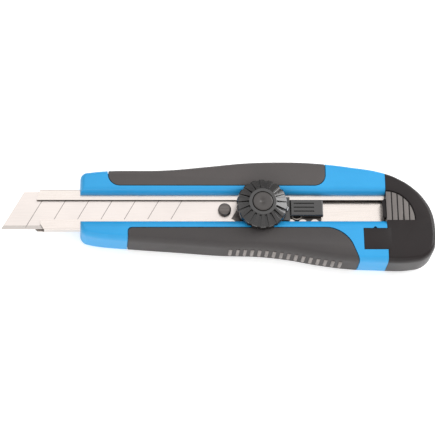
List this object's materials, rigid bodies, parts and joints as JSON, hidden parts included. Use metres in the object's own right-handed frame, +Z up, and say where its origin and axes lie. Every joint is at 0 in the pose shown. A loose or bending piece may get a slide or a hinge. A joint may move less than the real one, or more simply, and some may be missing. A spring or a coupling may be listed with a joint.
{
  "type": "utility knife",
  "caption": "Snap-off utility knife with a dial lock, soft grips, a steel blade channel and spare blades behind a pull-off rear cap.",
  "frame": {"origin": "middle of the whole knife's box, on the surface it lies on", "axes": "+X from the blade's tip to the rear cap, +Y towards the spine, +Z up through the dial"},
  "size_m": [0.1994, 0.0487, 0.0255],
  "materials": {
    "blade_steel": "ground carbon steel",
    "channel_steel": "satin stainless steel",
    "carrier_steel": "blackened steel",
    "handle_shell": "satin ABS, light blue",
    "soft_grip": "matt thermoplastic rubber, dark grey",
    "slider_plastic": "black nylon",
    "dial_plastic": "black nylon",
    "cap_plastic": "dark grey ABS",
    "tray_plastic": "black polypropylene",
    "spring_steel": "spring steel",
    "plated_steel": "zinc-plated steel",
    "insert_brass": "turned brass"
  },
  "bodies": {
    "handle": {"handle_body": "handle_shell", "upper_grip": "soft_grip", "lower_grip": "soft_grip", "blade_channel": "channel_steel"},
    "slider": {"blade_carrier": "carrier_steel", "blade": "blade_steel", "slider_block": "slider_plastic", "slider_rivet": "plated_steel", "detent_spring": "spring_steel", "thrust_washer": "plated_steel"},
    "lock_dial": {"dial_knob": "dial_plastic", "dial_nut": "insert_brass", "dial_hub_cap": "dial_plastic"},
    "clamp": {"clamp_stud": "plated_steel"},
    "cap": {"rear_cap": "cap_plastic", "magazine_tray": "tray_plastic", "blade_clip": "spring_steel", "spare_blade_1": "blade_steel", "spare_blade_2": "blade_steel", "spare_blade_3": "blade_steel"}
  },
  "joints": [
    {"name": "blade_slide", "type": "slide", "parent": "handle", "child": "slider", "axis": [-1, 0, 0], "range_m": [-0.022, 0.066], "deforming": ["detent_spring"]},
    {"name": "dial_turn", "type": "hinge", "parent": "slider", "child": "lock_dial", "pos_m": [0.01935, 0.00175, 0.018], "axis": [0, 0, 1], "range_deg": [0, 270]},
    {"name": "clamp_lift", "type": "slide", "parent": "slider", "child": "clamp", "axis": [0, 0, 1], "range_m": [-0.000598, 0]},
    {"name": "cap_pull", "type": "slide", "parent": "handle", "child": "cap", "axis": [1, 0, 0], "range_m": [0, 0.125]}
  ],
  "couplings": [
    {"joint": "dial_turn", "follows": "clamp_lift", "rad_per_m": -7874}
  ]
}
